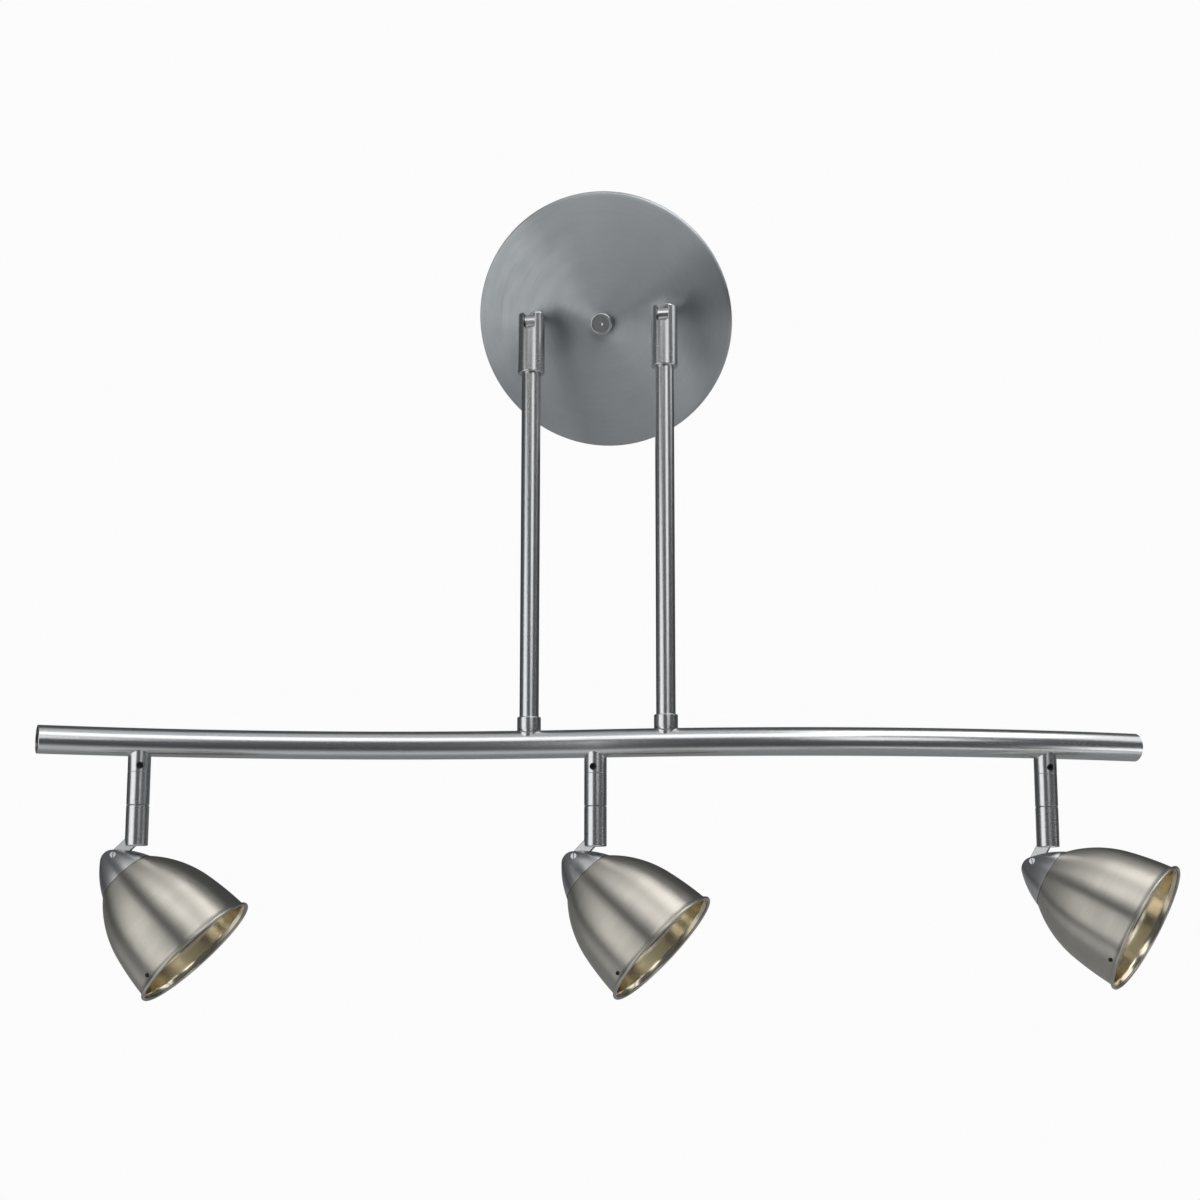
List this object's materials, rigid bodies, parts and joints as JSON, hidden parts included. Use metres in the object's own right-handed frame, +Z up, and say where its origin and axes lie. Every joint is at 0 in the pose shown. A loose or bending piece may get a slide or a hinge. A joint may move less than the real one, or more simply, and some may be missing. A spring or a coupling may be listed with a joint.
{
  "type": "track lighting fixture",
  "caption": "Serpentine bar on two swinging stems under a round canopy, carrying swivelling spots with bell shades on jointed drop arms.",
  "frame": {"origin": "centre of the canopy back, on the mounting surface", "axes": "+Z up, +Y into the mounting surface (the canopy faces -Y), +X along the swivel pins and the line of the spots"},
  "size_m": [0.6241, 0.2667, 0.4408],
  "materials": {
    "brushed_steel": "brushed steel, satin",
    "satin_nickel": "satin nickel plate on spun steel, warm reflective lining",
    "zinc_plate": "bright zinc plate",
    "black_steel": "black oxide",
    "black_plastic": "matt moulded",
    "ground_green": "green dyed screw",
    "connector_plastic": "gloss moulded",
    "lead_sleeving": "heat-resistant sleeving",
    "porcelain": "unglazed steatite",
    "lamp_glass": "pressed reflector glass"
  },
  "bodies": {
    "canopy": {"canopy_cover": "brushed_steel", "cap_nut": "brushed_steel", "centre_stud": "zinc_plate", "crossbar": "zinc_plate", "ground_screw": "ground_green", "stud_locknut": "zinc_plate", "supply_leads": "lead_sleeving", "wire_connectors": "connector_plastic", "swivel_nuts": "zinc_plate", "left_swivel_tongue": "brushed_steel", "right_swivel_tongue": "brushed_steel"},
    "pendant": {"left_clevis": "brushed_steel", "right_clevis": "brushed_steel", "left_stem": "brushed_steel", "right_stem": "brushed_steel", "left_ferrule": "brushed_steel", "right_ferrule": "brushed_steel", "swivel_pins": "zinc_plate", "serpentine_bar": "brushed_steel", "left_end_plug": "black_plastic", "right_end_plug": "black_plastic", "pendant_leads": "lead_sleeving", "left_collar": "brushed_steel", "middle_collar": "brushed_steel", "right_collar": "brushed_steel", "left_sleeve": "brushed_steel", "middle_sleeve": "brushed_steel", "right_sleeve": "brushed_steel", "set_screws": "black_steel", "swivel_nipples": "zinc_plate"},
    "left_swivel_arm": {"left_arm": "brushed_steel", "left_knuckle_pin": "zinc_plate"},
    "left_tilt_link": {"left_link": "brushed_steel"},
    "left_spot": {"left_socket_cup": "brushed_steel", "left_tilt_screw": "brushed_steel", "left_lampholder": "porcelain", "left_lamp": "lamp_glass", "left_shade": "satin_nickel", "left_rim_screw": "black_steel", "left_shade_ring": "black_plastic"},
    "middle_swivel_arm": {"middle_arm": "brushed_steel", "middle_knuckle_pin": "zinc_plate"},
    "middle_tilt_link": {"middle_link": "brushed_steel"},
    "middle_spot": {"middle_socket_cup": "brushed_steel", "middle_tilt_screw": "brushed_steel", "middle_lampholder": "porcelain", "middle_lamp": "lamp_glass", "middle_shade": "satin_nickel", "middle_rim_screw": "black_steel", "middle_shade_ring": "black_plastic"},
    "right_swivel_arm": {"right_arm": "brushed_steel", "right_knuckle_pin": "zinc_plate"},
    "right_tilt_link": {"right_link": "brushed_steel"},
    "right_spot": {"right_socket_cup": "brushed_steel", "right_tilt_screw": "brushed_steel", "right_lampholder": "porcelain", "right_lamp": "lamp_glass", "right_shade": "satin_nickel", "right_rim_screw": "black_steel", "right_shade_ring": "black_plastic"}
  },
  "joints": [
    {"name": "stem_swing", "type": "hinge", "parent": "canopy", "child": "pendant", "pos_m": [0, -0.026, 0.0046], "axis": [-1, 0, 0], "range_deg": [-12, 140]},
    {"name": "left_pan", "type": "hinge", "parent": "pendant", "child": "left_swivel_arm", "pos_m": [-0.25136, -0.19849, -0.22801], "axis": [0, 0.4352, 0.9003], "range_deg": [-170, 170]},
    {"name": "left_knuckle", "type": "hinge", "parent": "left_swivel_arm", "child": "left_tilt_link", "pos_m": [-0.25136, -0.20602, -0.24359], "axis": [-0.1132, 0.8945, -0.4324], "range_deg": [-44, 29]},
    {"name": "left_tilt", "type": "hinge", "parent": "left_tilt_link", "child": "left_spot", "pos_m": [-0.26201, -0.21162, -0.25238], "axis": [0.1132, -0.8945, 0.4324], "range_deg": [-90.6, 1.4]},
    {"name": "middle_pan", "type": "hinge", "parent": "pendant", "child": "middle_swivel_arm", "pos_m": [-0.0009, -0.14979, -0.25156], "axis": [0, 0.4352, 0.9003], "range_deg": [-170, 170]},
    {"name": "middle_knuckle", "type": "hinge", "parent": "middle_swivel_arm", "child": "middle_tilt_link", "pos_m": [-0.0009, -0.15732, -0.26713], "axis": [0.0924, 0.8965, -0.4334], "range_deg": [-42.6, 30.4]},
    {"name": "middle_tilt", "type": "hinge", "parent": "middle_tilt_link", "child": "middle_spot", "pos_m": [-0.01132, -0.16107, -0.2771], "axis": [-0.0924, -0.8965, 0.4334], "range_deg": [-92, 0]},
    {"name": "right_pan", "type": "hinge", "parent": "pendant", "child": "right_swivel_arm", "pos_m": [0.24858, -0.10239, -0.27447], "axis": [0, 0.4352, 0.9003], "range_deg": [-170, 170]},
    {"name": "right_knuckle", "type": "hinge", "parent": "right_swivel_arm", "child": "right_tilt_link", "pos_m": [0.24858, -0.10992, -0.29004], "axis": [0.2706, 0.8667, -0.419], "range_deg": [-27.5, 45.5]},
    {"name": "right_tilt", "type": "hinge", "parent": "right_tilt_link", "child": "right_spot", "pos_m": [0.24152, -0.11378, -0.30258], "axis": [-0.2706, -0.8667, 0.419], "range_deg": [-91.1, 0.9]}
  ]
}
